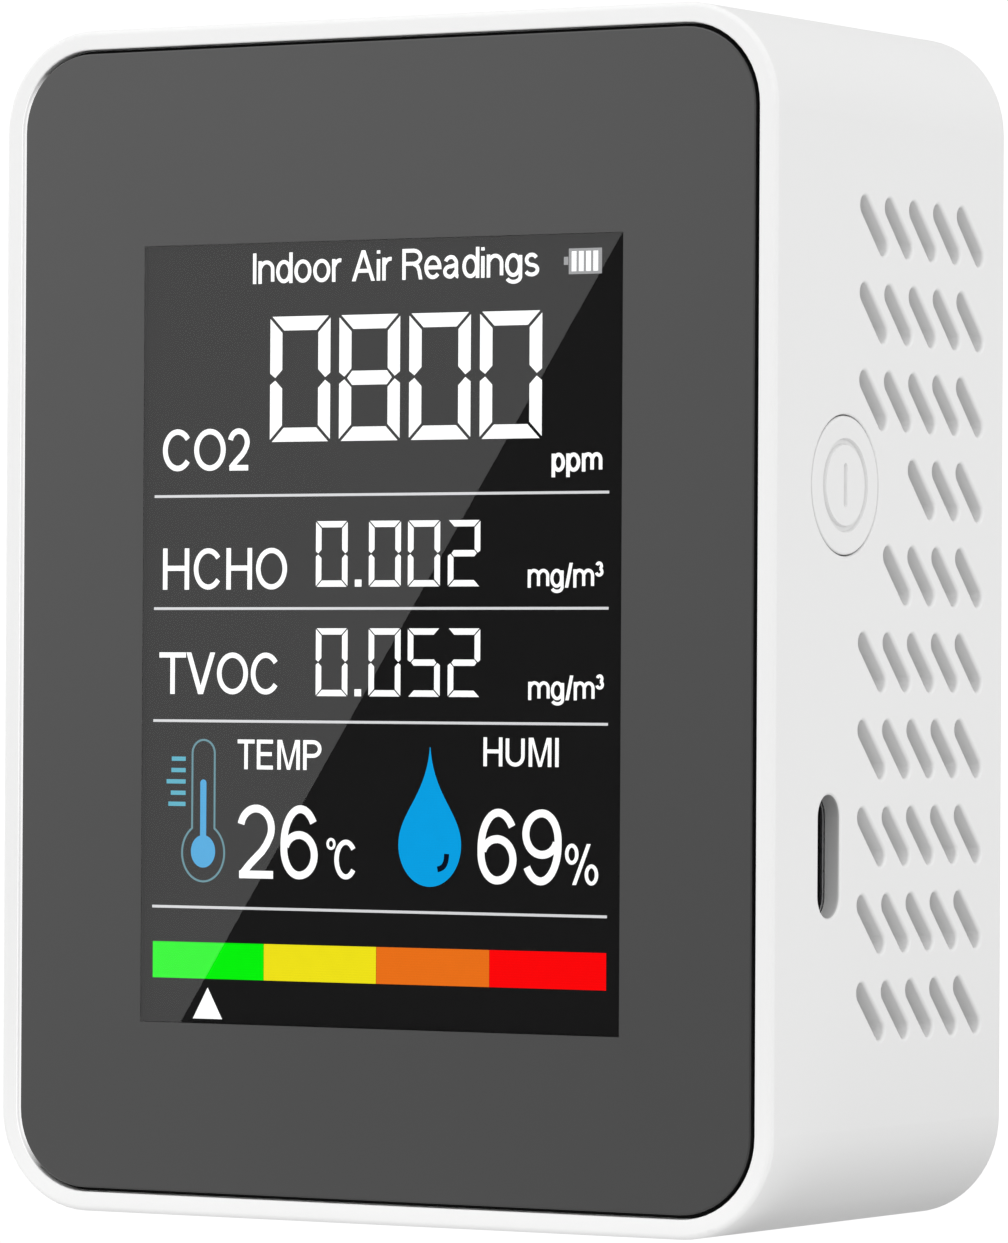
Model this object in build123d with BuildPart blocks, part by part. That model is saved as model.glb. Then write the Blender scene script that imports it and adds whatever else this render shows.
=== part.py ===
from build123d import *
import os

os.makedirs("parts", exist_ok=True)

# Carbon dioxide monitor, millimetres.
# Origin: middle of the underside. +Z is up, the screen faces -Y, the button side faces +X.

# ---------------------------------------------------------------- driving dimensions

BODY_W = 66.0
BODY_D = 35.5
BODY_H = 88.0
BODY_R = 7.5
FRONT_ROUND = 0.4
REAR_ROUND = 0.6
EDGE_SOFT = 0.12
SLOT_SOFT = 0.25
WALL = 2.0
RIM = 1.45

FRONT_Y = -BODY_D / 2
REAR_Y = BODY_D / 2
MID_Z = BODY_H / 2
INNER_X = BODY_W / 2 - WALL

# front panel and its pocket
PANEL_GAP = 0.3
PANEL_T = 0.8
TAPE_T = 0.2
POCKET_DEPTH = PANEL_T + TAPE_T
POCKET_W = BODY_W - 2 * RIM
POCKET_H = BODY_H - 2 * RIM
POCKET_R = BODY_R - RIM
FLOOR_T = 1.6
FLOOR_Y = FRONT_Y + POCKET_DEPTH + FLOOR_T
WINDOW_W = 41.0
WINDOW_H = 57.5
WINDOW_Z = 43.0
WINDOW_T = 0.25
WINDOW_FIT = 0.02

# liquid crystal module behind the window; its polariser stands in the panel's opening
POLARISER_Y = FRONT_Y + WINDOW_T + 0.07
LCD_W = 50.0
LCD_H = 69.2
LCD_Z = 40.5
LCD_FIT = 0.2
LCD_AIR = 0.08
LCD_LEDGE = 3.2
GLASS_T = 1.5
TRAY_T = 1.7
GLASS_Y = FRONT_Y + PANEL_T + LCD_AIR
TRAY_Y = GLASS_Y + GLASS_T
TRAY_BACK_Y = TRAY_Y + TRAY_T
FOAM_T = 1.0

# circuit board, components on its rear face
BOARD_W = 60.0
BOARD_H = 70.0
BOARD_T = 1.6
BOARD_Y = TRAY_BACK_Y + FOAM_T
DECK_Y = BOARD_Y + BOARD_T
POST_X = 28.0
POST_DZ = 60.0
POST_R = 2.0

# rear cover and its bosses
COVER_T = 2.0
COVER_GAP = 0.12
COVER_RIM = 1.4
COVER_Y = REAR_Y - COVER_T
BOSS_X = 28.2
BOSS_DZ = 78.0
BOSS_R = 3.2

# screws
SCREW_R = 1.0
SCREW_FIT = 0.05
SCREW_HEAD_R = 1.9
SCREW_HEAD_T = 1.1
CASE_SCREW_L = 8.0
BOARD_SCREW_L = 4.5

# power button and the switch behind it
BUTTON_Y = FRONT_Y + 10.45
BUTTON_Z = MID_Z + 9.8
BUTTON_R = 5.0
BUTTON_HOLE_R = 5.1
FLANGE_R = 6.1
TRAVEL = 0.4

# charging port
PORT_Y = FRONT_Y + 8.3
PORT_Z = MID_Z - 16.8
PORT_L = 8.8
PORT_H = 3.2
PORT_WALL = 1.25

# vent slots in both side walls
VENT_L = 5.4
VENT_W = 1.45
VENT_TILT = -45.0
VENT_ROWS = 10
VENT_COLUMNS = 5
VENT_ROW_PITCH = 6.308
VENT_COLUMN_PITCH = 3.77
VENT_FIRST_Y = FRONT_Y + 14.75
VENT_FIRST_Z = MID_Z + 28.67
VENT_SKIPPED = {3: 2, 4: 1}  # row: columns left out beside the button


# ---------------------------------------------------------------- helpers

def facing(y, z=MID_Z, x=0.0):
    """Plane square to the front: X right, Y up, extrusions run forwards from y."""
    return Plane(origin=(x, y, z), x_dir=(1, 0, 0), z_dir=(0, -1, 0))


def rising(y, z=MID_Z, x=0.0):
    """Plane square to the front whose extrusions run backwards from y."""
    return Plane(origin=(x, y, z), x_dir=(-1, 0, 0), z_dir=(0, 1, 0))


def side(x):
    """Plane square to the sides: X is world Y, Y is world Z, extrusions run to +X."""
    return Plane.YZ.offset(x)


def vent_centres(skipped):
    """Slot centres row by row, leaving out the first columns of the rows named in skipped."""
    centres = []
    for row in range(VENT_ROWS):
        for column in range(skipped.get(row, 0), VENT_COLUMNS):
            y = VENT_FIRST_Y + column * VENT_COLUMN_PITCH
            z = VENT_FIRST_Z - row * VENT_ROW_PITCH
            centres.append((y, z))
    return centres


# ---------------------------------------------------------------- front shell

with BuildPart() as front_shell:
    with BuildSketch(facing(REAR_Y)):
        RectangleRounded(BODY_W, BODY_H, BODY_R)
    extrude(amount=BODY_D)
    fillet(front_shell.faces().sort_by(Axis.Y)[0].edges(), FRONT_ROUND)
    fillet(front_shell.faces().sort_by(Axis.Y)[-1].edges(), REAR_ROUND)

    # cavity, open at the back
    with BuildSketch(facing(REAR_Y)):
        RectangleRounded(BODY_W - 2 * WALL, BODY_H - 2 * WALL, BODY_R - WALL)
    extrude(amount=REAR_Y - FLOOR_Y, mode=Mode.SUBTRACT)

    # rebate that takes the rear cover
    with BuildSketch(facing(REAR_Y)):
        RectangleRounded(BODY_W - 2 * COVER_RIM, BODY_H - 2 * COVER_RIM, BODY_R - COVER_RIM)
    extrude(amount=COVER_T, mode=Mode.SUBTRACT)

    # pocket that takes the front panel, and the opening for the display module
    with BuildSketch(facing(FRONT_Y + POCKET_DEPTH)):
        RectangleRounded(POCKET_W, POCKET_H, POCKET_R)
    extrude(amount=POCKET_DEPTH, mode=Mode.SUBTRACT)
    with BuildSketch(facing(FLOOR_Y, LCD_Z)):
        RectangleRounded(LCD_W + 2 * LCD_FIT, LCD_H + 2 * LCD_FIT, 0.8)
    extrude(amount=FLOOR_T, mode=Mode.SUBTRACT)

    # corner bosses for the case screws, posts for the board
    with BuildSketch(facing(COVER_Y)):
        with GridLocations(2 * BOSS_X, BOSS_DZ, 2, 2):
            Circle(BOSS_R)
    extrude(amount=COVER_Y - FLOOR_Y)
    with BuildSketch(facing(BOARD_Y)):
        with GridLocations(2 * POST_X, POST_DZ, 2, 2):
            Circle(POST_R)
    extrude(amount=BOARD_Y - FLOOR_Y)
    with BuildSketch(facing(COVER_Y)):
        with GridLocations(2 * BOSS_X, BOSS_DZ, 2, 2):
            Circle(SCREW_R + SCREW_FIT)
    extrude(amount=CASE_SCREW_L, mode=Mode.SUBTRACT)
    with BuildSketch(facing(BOARD_Y)):
        with GridLocations(2 * POST_X, POST_DZ, 2, 2):
            Circle(SCREW_R + SCREW_FIT)
    extrude(amount=BOARD_SCREW_L - BOARD_T + 0.2, mode=Mode.SUBTRACT)

    # vents through both side walls
    with BuildSketch(side(INNER_X)):
        with Locations(*vent_centres(VENT_SKIPPED)):
            SlotOverall(VENT_L, VENT_W, rotation=VENT_TILT)
    extrude(amount=WALL, mode=Mode.SUBTRACT)
    with BuildSketch(side(-BODY_W / 2)):
        with Locations(*vent_centres({})):
            SlotOverall(VENT_L, VENT_W, rotation=VENT_TILT)
    extrude(amount=WALL, mode=Mode.SUBTRACT)

    # slot for the port with a recess behind it
    with BuildSketch(side(INNER_X)):
        with Locations((PORT_Y, PORT_Z)):
            SlotOverall(PORT_L, PORT_H, rotation=90)
    extrude(amount=WALL, mode=Mode.SUBTRACT)
    with BuildSketch(side(INNER_X)):
        with Locations((PORT_Y, PORT_Z)):
            RectangleRounded(PORT_H + 2.4, PORT_L + 2.4, 1.0)
    extrude(amount=WALL - PORT_WALL, mode=Mode.SUBTRACT)

    # round over the outer edges of all side slots and the mouth of the pocket
    for outer_face, radius in (
        (front_shell.faces().filter_by(Axis.X).sort_by(Axis.X)[-1], SLOT_SOFT),
        (front_shell.faces().filter_by(Axis.X).sort_by(Axis.X)[0], SLOT_SOFT),
        (front_shell.faces().filter_by(Axis.Y).sort_by(Axis.Y)[0], EDGE_SOFT),
    ):
        openings = [edge for wire in outer_face.inner_wires() for edge in wire.edges()]
        fillet(openings, radius)

    # round hole for the button, with a finer edge
    with BuildSketch(side(INNER_X)):
        with Locations((BUTTON_Y, BUTTON_Z)):
            Circle(BUTTON_HOLE_R)
    extrude(amount=WALL, mode=Mode.SUBTRACT)
    hole_edges = front_shell.edges(Select.LAST).filter_by(GeomType.CIRCLE).sort_by(Axis.X)
    fillet(hole_edges[-1], EDGE_SOFT)

front_shell.part.label = "front_shell"


# ---------------------------------------------------------------- rear cover

COVER_W = BODY_W - 2 * (COVER_RIM + COVER_GAP)
COVER_H = BODY_H - 2 * (COVER_RIM + COVER_GAP)
LIP_W = 36.0
LIP_T = 1.2
LIP_DEPTH = 1.5
LIP_FIT = 0.15
HEAD_SEAT = 1.3

with BuildPart() as rear_cover:
    with BuildSketch(facing(REAR_Y)):
        RectangleRounded(COVER_W, COVER_H, BODY_R - COVER_RIM - COVER_GAP)
    extrude(amount=COVER_T)
    fillet(rear_cover.faces().sort_by(Axis.Y)[-1].edges(), 0.3)

    # locating lips along the top and bottom walls
    lip_dz = BODY_H - 2 * WALL - 2 * LIP_FIT - LIP_T
    with BuildSketch(facing(COVER_Y)):
        with GridLocations(1, lip_dz, 1, 2):
            RectangleRounded(LIP_W, LIP_T, 0.3)
    extrude(amount=LIP_DEPTH)

    # shallow battery bay ribs
    with BuildSketch(facing(COVER_Y)):
        with Locations((-26.0, 7.0), (12.0, 7.0)):
            RectangleRounded(1.2, 44.0, 0.3)
    extrude(amount=2.5)

    # counterbored screw holes
    with BuildSketch(facing(REAR_Y)):
        with GridLocations(2 * BOSS_X, BOSS_DZ, 2, 2):
            Circle(SCREW_R + 0.15)
    extrude(amount=COVER_T, mode=Mode.SUBTRACT)
    with BuildSketch(facing(REAR_Y)):
        with GridLocations(2 * BOSS_X, BOSS_DZ, 2, 2):
            Circle(SCREW_HEAD_R + 0.15)
    extrude(amount=HEAD_SEAT, mode=Mode.SUBTRACT)

rear_cover.part.label = "rear_cover"


# ---------------------------------------------------------------- front panel and window

PANEL_W = POCKET_W - 2 * PANEL_GAP
PANEL_H = POCKET_H - 2 * PANEL_GAP
PANEL_R = POCKET_R - PANEL_GAP
PANEL_EDGE = 0.12

with BuildPart() as front_panel:
    with BuildSketch(facing(FRONT_Y + PANEL_T)):
        RectangleRounded(PANEL_W, PANEL_H, PANEL_R)
    extrude(amount=PANEL_T)
    fillet(front_panel.faces().sort_by(Axis.Y)[0].edges(), PANEL_EDGE)
    with BuildSketch(facing(FRONT_Y + PANEL_T, WINDOW_Z)):
        Rectangle(WINDOW_W, WINDOW_H)
    extrude(amount=PANEL_T, mode=Mode.SUBTRACT)

front_panel.part.label = "front_panel"

with BuildPart() as display_window:
    with BuildSketch(facing(FRONT_Y + WINDOW_T, WINDOW_Z)):
        Rectangle(WINDOW_W - 2 * WINDOW_FIT, WINDOW_H - 2 * WINDOW_FIT)
    extrude(amount=WINDOW_T)

display_window.part.label = "display_window"

with BuildPart() as panel_tape:
    with BuildSketch(facing(FRONT_Y + POCKET_DEPTH)):
        RectangleRounded(POCKET_W - 0.1, POCKET_H - 0.1, POCKET_R - 0.05)
        with Locations((0, LCD_Z - MID_Z)):
            Rectangle(LCD_W + 1.0, LCD_H + 1.0, mode=Mode.SUBTRACT)
    extrude(amount=TAPE_T)

panel_tape.part.label = "panel_tape"


# ---------------------------------------------------------------- display module

with BuildPart() as lcd_glass:
    with BuildSketch(facing(TRAY_Y, LCD_Z)):
        RectangleRounded(LCD_W, LCD_H, 0.3)
    extrude(amount=GLASS_T)
    # the lower glass sticks out below the upper one as a contact ledge
    with BuildSketch(facing(GLASS_Y + GLASS_T / 2, LCD_Z - LCD_H / 2 + LCD_LEDGE / 2)):
        Rectangle(LCD_W + 1.0, LCD_LEDGE)
    extrude(amount=GLASS_T, mode=Mode.SUBTRACT)

lcd_glass.part.label = "lcd_glass"

with BuildPart() as lcd_polariser:
    with BuildSketch(facing(GLASS_Y, WINDOW_Z)):
        Rectangle(WINDOW_W - 2 * WINDOW_FIT, WINDOW_H - 2 * WINDOW_FIT)
    extrude(amount=GLASS_Y - POLARISER_Y)

lcd_polariser.part.label = "lcd_polariser"

with BuildPart() as lcd_backlight:
    with BuildSketch(facing(TRAY_BACK_Y, LCD_Z)):
        RectangleRounded(LCD_W, LCD_H, 0.8)
    extrude(amount=TRAY_T)
    with BuildSketch(facing(TRAY_BACK_Y, LCD_Z)):
        RectangleRounded(LCD_W - 6.0, LCD_H - 8.0, 1.0)
    extrude(amount=0.25, mode=Mode.SUBTRACT)

lcd_backlight.part.label = "lcd_backlight"

# foam arch between the display module and the board, open below for the ribbon
FOAM_W = 46.0
FOAM_H = 60.0
FOAM_STRIP = 2.0

with BuildPart() as lcd_foam:
    with BuildSketch(facing(BOARD_Y, LCD_Z + 2.0)):
        Rectangle(FOAM_W, FOAM_H)
        with Locations((0, -FOAM_STRIP / 2)):
            Rectangle(FOAM_W - 2 * FOAM_STRIP, FOAM_H - FOAM_STRIP, mode=Mode.SUBTRACT)
    extrude(amount=FOAM_T)

lcd_foam.part.label = "lcd_foam"

# ribbon: from behind the display module round the lower board edge into its socket
RIBBON_W = 14.0
RIBBON_T = 0.15
RIBBON_BEND = 1.5
BEND_Y = BOARD_Y + 0.7
BEND_Z = 8.0
RIBBON_FRONT_Y = BEND_Y - RIBBON_BEND
RIBBON_REAR_Y = BEND_Y + RIBBON_BEND
SOCKET_Z = 10.0
SOCKET_H = 3.4
RIBBON_END_Z = SOCKET_Z + 1.6

with BuildPart() as lcd_ribbon:
    with BuildSketch(side(-RIBBON_W / 2)) as ribbon_section:
        with Locations((BEND_Y, BEND_Z)):
            Circle(RIBBON_BEND + RIBBON_T / 2)
            Circle(RIBBON_BEND - RIBBON_T / 2, mode=Mode.SUBTRACT)
        with Locations((BEND_Y, BEND_Z + RIBBON_BEND)):
            Rectangle(4 * RIBBON_BEND, 2 * RIBBON_BEND, mode=Mode.SUBTRACT)
        with Locations((RIBBON_FRONT_Y, BEND_Z)):
            Rectangle(RIBBON_T, 8.0, align=(Align.CENTER, Align.MIN))
        with Locations((RIBBON_REAR_Y, BEND_Z)):
            Rectangle(RIBBON_T, RIBBON_END_Z - BEND_Z, align=(Align.CENTER, Align.MIN))
    extrude(amount=RIBBON_W)

lcd_ribbon.part.label = "lcd_ribbon"

with BuildPart() as ribbon_socket:
    with BuildSketch(rising(DECK_Y, SOCKET_Z + SOCKET_H / 2)):
        RectangleRounded(RIBBON_W + 4.0, SOCKET_H, 0.3)
    extrude(amount=1.3)
    with BuildSketch(side(-RIBBON_W / 2 - 0.1)):
        with Locations((RIBBON_REAR_Y, SOCKET_Z)):
            Rectangle(RIBBON_T + 0.06, 1.65, align=(Align.CENTER, Align.MIN))
    extrude(amount=RIBBON_W + 0.2, mode=Mode.SUBTRACT)
    chamfer(ribbon_socket.faces().sort_by(Axis.Y)[-1].edges(), 0.2)

ribbon_socket.part.label = "ribbon_socket"


# ---------------------------------------------------------------- circuit board

NOTCH_X = 28.3
NOTCH_H = 15.0

with BuildPart() as main_board:
    with BuildSketch(facing(DECK_Y)):
        RectangleRounded(BOARD_W, BOARD_H, 1.5)
        # room for the button flange to move in
        with Locations((BOARD_W / 2, BUTTON_Z - MID_Z)):
            RectangleRounded(2 * (BOARD_W / 2 - NOTCH_X), NOTCH_H, 0.8, mode=Mode.SUBTRACT)
        with GridLocations(2 * POST_X, POST_DZ, 2, 2):
            Circle(SCREW_R + 0.15, mode=Mode.SUBTRACT)
    extrude(amount=BOARD_T)

main_board.part.label = "main_board"

# board screws: pan heads on the rear face of the board
with BuildPart() as board_screws:
    with BuildSketch(rising(DECK_Y)):
        with GridLocations(2 * POST_X, POST_DZ, 2, 2):
            Circle(SCREW_HEAD_R)
    extrude(amount=SCREW_HEAD_T)
    fillet(board_screws.faces().group_by(Axis.Y)[-1].edges(), 0.4)
    with BuildSketch(facing(DECK_Y)):
        with GridLocations(2 * POST_X, POST_DZ, 2, 2):
            Circle(SCREW_R)
    extrude(amount=BOARD_SCREW_L)
    with BuildSketch(rising(DECK_Y + SCREW_HEAD_T - 0.6)):
        with GridLocations(2 * POST_X, POST_DZ, 2, 2):
            Rectangle(2.0, 0.4)
            Rectangle(0.4, 2.0)
    extrude(amount=0.6, mode=Mode.SUBTRACT)

board_screws.part.label = "board_screws"

# case screws: same form, longer, heads sunk in the rear cover
CASE_HEAD_Y = REAR_Y - HEAD_SEAT

with BuildPart() as case_screws:
    with BuildSketch(rising(CASE_HEAD_Y)):
        with GridLocations(2 * BOSS_X, BOSS_DZ, 2, 2):
            Circle(SCREW_HEAD_R)
    extrude(amount=SCREW_HEAD_T)
    fillet(case_screws.faces().group_by(Axis.Y)[-1].edges(), 0.4)
    with BuildSketch(facing(CASE_HEAD_Y)):
        with GridLocations(2 * BOSS_X, BOSS_DZ, 2, 2):
            Circle(SCREW_R)
    extrude(amount=CASE_SCREW_L)
    with BuildSketch(rising(CASE_HEAD_Y + SCREW_HEAD_T - 0.7)):
        with GridLocations(2 * BOSS_X, BOSS_DZ, 2, 2):
            Rectangle(2.2, 0.45)
            Rectangle(0.45, 2.2)
    extrude(amount=0.7, mode=Mode.SUBTRACT)

case_screws.part.label = "case_screws"


# ---------------------------------------------------------------- charging port

USB_MOUTH_X = INNER_X + WALL - PORT_WALL - 0.05
USB_LENGTH = 7.3
USB_L = 8.94
USB_SKIN = 0.3

with BuildPart() as usb_shell:
    with BuildSketch(side(USB_MOUTH_X - USB_LENGTH)):
        with Locations((PORT_Y, PORT_Z)):
            SlotOverall(USB_L, PORT_H, rotation=90)
    extrude(amount=USB_LENGTH)
    with BuildSketch(side(USB_MOUTH_X - USB_LENGTH + USB_SKIN)):
        with Locations((PORT_Y, PORT_Z)):
            SlotOverall(USB_L - 2 * USB_SKIN, PORT_H - 2 * USB_SKIN, rotation=90)
    extrude(amount=USB_LENGTH, mode=Mode.SUBTRACT)

usb_shell.part.label = "usb_shell"

with BuildPart() as usb_tongue:
    with BuildSketch(side(USB_MOUTH_X - USB_LENGTH + USB_SKIN)):
        with Locations((PORT_Y, PORT_Z)):
            SlotOverall(USB_L - 2 * USB_SKIN - 0.1, PORT_H - 2 * USB_SKIN - 0.1, rotation=90)
    extrude(amount=1.6)
    with BuildSketch(side(USB_MOUTH_X - USB_LENGTH + USB_SKIN)):
        with Locations((PORT_Y, PORT_Z)):
            RectangleRounded(0.7, 6.7, 0.15)
    extrude(amount=USB_LENGTH - USB_SKIN - 0.7)

usb_tongue.part.label = "usb_tongue"


# ---------------------------------------------------------------- power button and switch

CAP_BACK_X = INNER_X - 0.05
FLANGE_T = 0.95
RING_R = 3.15
RING_FLOOR_W = 0.28
MARK_DEPTH = 0.24
MARK_DRAFT = 25
BAR_FLOOR_H = 3.0
BAR_FLOOR_W = 0.3
STEM_R = 1.8
STEM_END_X = 28.4
FACE_X = BODY_W / 2

with BuildPart() as power_button:
    with BuildSketch(side(CAP_BACK_X)):
        with Locations((BUTTON_Y, BUTTON_Z)):
            Circle(BUTTON_R)
    extrude(amount=FACE_X - CAP_BACK_X)
    fillet(power_button.faces().sort_by(Axis.X)[-1].edges(), 0.15)
    # flared ring groove round a bar: the usual power mark
    with BuildSketch(side(FACE_X - MARK_DEPTH)):
        with Locations((BUTTON_Y, BUTTON_Z)):
            Circle(RING_R + RING_FLOOR_W / 2)
            Circle(RING_R - RING_FLOOR_W / 2, mode=Mode.SUBTRACT)
    extrude(amount=MARK_DEPTH, taper=-MARK_DRAFT, mode=Mode.SUBTRACT)
    with BuildSketch(side(FACE_X - MARK_DEPTH)):
        with Locations((BUTTON_Y, BUTTON_Z)):
            SlotOverall(BAR_FLOOR_H, BAR_FLOOR_W, rotation=90)
    extrude(amount=MARK_DEPTH, taper=-MARK_DRAFT, mode=Mode.SUBTRACT)
    # flange that keeps the cap in the wall, stem that meets the switch
    with BuildSketch(side(CAP_BACK_X - FLANGE_T)):
        with Locations((BUTTON_Y, BUTTON_Z)):
            Circle(FLANGE_R)
    extrude(amount=FLANGE_T)
    with BuildSketch(side(STEM_END_X)):
        with Locations((BUTTON_Y, BUTTON_Z)):
            Circle(STEM_R)
    extrude(amount=CAP_BACK_X - STEM_END_X)

power_button.part.label = "power_button"

SWITCH_X = 21.5
SWITCH_FRONT_X = 25.5
PLUNGER_R = 1.7
PLUNGER_BACK_X = 25.05
BORE_X = PLUNGER_BACK_X - TRAVEL - 0.1
SWITCH_TOP_Y = BUTTON_Y + 3.2

with BuildPart() as switch_body:
    with BuildSketch(side(SWITCH_X)):
        with Locations((DECK_Y, BUTTON_Z)):
            Rectangle(SWITCH_TOP_Y - DECK_Y, 6.2, align=(Align.MIN, Align.CENTER))
    extrude(amount=SWITCH_FRONT_X - SWITCH_X)
    chamfer(switch_body.edges().filter_by(Axis.X).group_by(Axis.Y)[-1], 0.5)
    with BuildSketch(side(BORE_X)):
        with Locations((BUTTON_Y, BUTTON_Z)):
            Circle(PLUNGER_R + 0.05)
    extrude(amount=SWITCH_FRONT_X - BORE_X, mode=Mode.SUBTRACT)
    # solder feet along both sides
    with BuildSketch(rising(DECK_Y, BUTTON_Z, (SWITCH_X + SWITCH_FRONT_X) / 2)):
        with GridLocations(2.4, 7.4, 2, 2):
            Rectangle(0.8, 1.6)
    extrude(amount=0.35)

switch_body.part.label = "switch_body"

with BuildPart() as switch_plunger:
    with BuildSketch(side(PLUNGER_BACK_X)):
        with Locations((BUTTON_Y, BUTTON_Z)):
            Circle(PLUNGER_R)
    extrude(amount=STEM_END_X - 0.03 - PLUNGER_BACK_X)
    fillet(switch_plunger.faces().sort_by(Axis.X)[-1].edges(), 0.25)

switch_plunger.part.label = "switch_plunger"


# ---------------------------------------------------------------- sensors

# carbon dioxide sensor: carrier board on pins, metal case, gas membrane
CO2_X = -16.0
CO2_Z = 31.0
CO2_W = 20.0
CO2_H = 33.0
CO2_STAND = 1.0
CO2_CARRIER_T = 1.0
CO2_CASE_T = 8.0
CO2_CARRIER_Y = DECK_Y + CO2_STAND
CO2_CASE_Y = CO2_CARRIER_Y + CO2_CARRIER_T

with BuildPart() as co2_carrier:
    with BuildSketch(rising(CO2_CARRIER_Y, CO2_Z, CO2_X)):
        RectangleRounded(CO2_W, CO2_H, 0.6)
    extrude(amount=CO2_CARRIER_T)
    with BuildSketch(rising(DECK_Y, CO2_Z, CO2_X)):
        with GridLocations(CO2_W - 2.4, 2.54, 2, 9):
            Rectangle(0.64, 0.64)
    extrude(amount=CO2_STAND)

co2_carrier.part.label = "co2_carrier"

with BuildPart() as co2_case:
    with BuildSketch(rising(CO2_CASE_Y, CO2_Z, CO2_X)):
        RectangleRounded(CO2_W - 3.6, CO2_H - 1.0, 1.2)
    extrude(amount=CO2_CASE_T)
    fillet(co2_case.faces().sort_by(Axis.Y)[-1].edges(), 0.5)
    with BuildSketch(rising(CO2_CASE_Y + CO2_CASE_T - 0.4, CO2_Z, CO2_X)):
        RectangleRounded(7.0, 24.0, 1.0)
    extrude(amount=0.4, mode=Mode.SUBTRACT)
    with BuildSketch(rising(CO2_CASE_Y + CO2_CASE_T - 1.4, CO2_Z, CO2_X)):
        with GridLocations(3.0, 4.0, 2, 5):
            Circle(0.8)
    extrude(amount=1.4, mode=Mode.SUBTRACT)

co2_case.part.label = "co2_case"

with BuildPart() as co2_membrane:
    with BuildSketch(rising(CO2_CASE_Y + CO2_CASE_T - 0.4, CO2_Z, CO2_X)):
        RectangleRounded(6.8, 23.8, 0.9)
    extrude(amount=0.35)

co2_membrane.part.label = "co2_membrane"

# formaldehyde sensor: stepped round cell with a ring of inlet holes
with BuildPart() as hcho_sensor:
    with BuildSketch(rising(DECK_Y, 63.0, -17.0)):
        Circle(6.5)
    extrude(amount=4.0)
    with BuildSketch(rising(DECK_Y + 4.0, 63.0, -17.0)):
        Circle(5.2)
    extrude(amount=1.5)
    fillet(hcho_sensor.faces().sort_by(Axis.Y)[-1].edges(), 0.4)
    with BuildSketch(rising(DECK_Y + 4.5, 63.0, -17.0)):
        with PolarLocations(2.8, 6):
            Circle(0.6)
    extrude(amount=1.0, mode=Mode.SUBTRACT)

hcho_sensor.part.label = "hcho_sensor"

# organic compound sensor: flanged metal can with an open mouth
with BuildPart() as tvoc_sensor:
    with BuildSketch(rising(DECK_Y, 66.0, -3.0)):
        Circle(4.6)
    extrude(amount=0.7)
    with BuildSketch(rising(DECK_Y + 0.7, 66.0, -3.0)):
        Circle(4.05)
    extrude(amount=3.6)
    fillet(tvoc_sensor.faces().sort_by(Axis.Y)[-1].edges(), 0.35)
    with BuildSketch(rising(DECK_Y + 3.6, 66.0, -3.0)):
        Circle(2.4)
    extrude(amount=0.7, mode=Mode.SUBTRACT)

tvoc_sensor.part.label = "tvoc_sensor"

# temperature and humidity sensor: slotted housing
with BuildPart() as climate_sensor:
    with BuildSketch(rising(DECK_Y, 69.0, 13.0)):
        RectangleRounded(12.0, 15.5, 1.0)
    extrude(amount=5.5)
    fillet(climate_sensor.faces().sort_by(Axis.Y)[-1].edges(), 0.5)
    with BuildSketch(rising(DECK_Y + 3.5, 69.0, 13.0)):
        with GridLocations(4.6, 2.6, 2, 4):
            SlotOverall(3.6, 1.2)
    extrude(amount=2.0, mode=Mode.SUBTRACT)

climate_sensor.part.label = "climate_sensor"


# ---------------------------------------------------------------- other board parts

with BuildPart() as buzzer:
    with BuildSketch(rising(DECK_Y, 16.5, 15.0)):
        Circle(4.5)
    extrude(amount=4.2)
    fillet(buzzer.faces().sort_by(Axis.Y)[-1].edges(), 0.4)
    with BuildSketch(rising(DECK_Y + 3.0, 16.5, 15.0)):
        Circle(0.9)
    extrude(amount=1.2, mode=Mode.SUBTRACT)

buzzer.part.label = "buzzer"

# controller: square body with ten legs on every side
CHIP_X = 6.0
CHIP_Z = 46.0
CHIP_W = 10.0
LEG_PITCH = 0.8
LEGS_PER_SIDE = 10

with BuildPart() as control_chip:
    with BuildSketch(rising(DECK_Y + 0.1, CHIP_Z, CHIP_X)):
        Rectangle(CHIP_W, CHIP_W)
    extrude(amount=1.3)
    chamfer(control_chip.faces().sort_by(Axis.Y)[-1].edges(), 0.15)
    with BuildSketch(rising(DECK_Y, CHIP_Z, CHIP_X)):
        with GridLocations(LEG_PITCH, CHIP_W + 1.2, LEGS_PER_SIDE, 2):
            Rectangle(0.35, 1.8)
        with GridLocations(CHIP_W + 1.2, LEG_PITCH, 2, LEGS_PER_SIDE):
            Rectangle(1.8, 0.35)
    extrude(amount=0.3)
    with BuildSketch(rising(DECK_Y + 1.3, CHIP_Z, CHIP_X)):
        with Locations((-3.8, 3.8)):
            Circle(0.5)
    extrude(amount=0.1, mode=Mode.SUBTRACT)

control_chip.part.label = "control_chip"

# charger: small body with four legs on two sides
with BuildPart() as charger_chip:
    with BuildSketch(rising(DECK_Y + 0.1, 30.0, 16.5)):
        Rectangle(4.0, 5.0)
    extrude(amount=1.4)
    chamfer(charger_chip.faces().sort_by(Axis.Y)[-1].edges(), 0.15)
    with BuildSketch(rising(DECK_Y, 30.0, 16.5)):
        with GridLocations(5.0, 1.27, 2, 4):
            Rectangle(1.6, 0.42)
    extrude(amount=0.3)

charger_chip.part.label = "charger_chip"

# charging coil: squat square ferrite body with a round top
with BuildPart() as power_coil:
    with BuildSketch(rising(DECK_Y, 38.5, 17.0)):
        RectangleRounded(6.0, 6.0, 1.2)
    extrude(amount=1.8)
    with BuildSketch(rising(DECK_Y + 1.8, 38.5, 17.0)):
        Circle(2.7)
    extrude(amount=1.0)
    fillet(power_coil.faces().sort_by(Axis.Y)[-1].edges(), 0.3)

power_coil.part.label = "power_coil"

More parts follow.
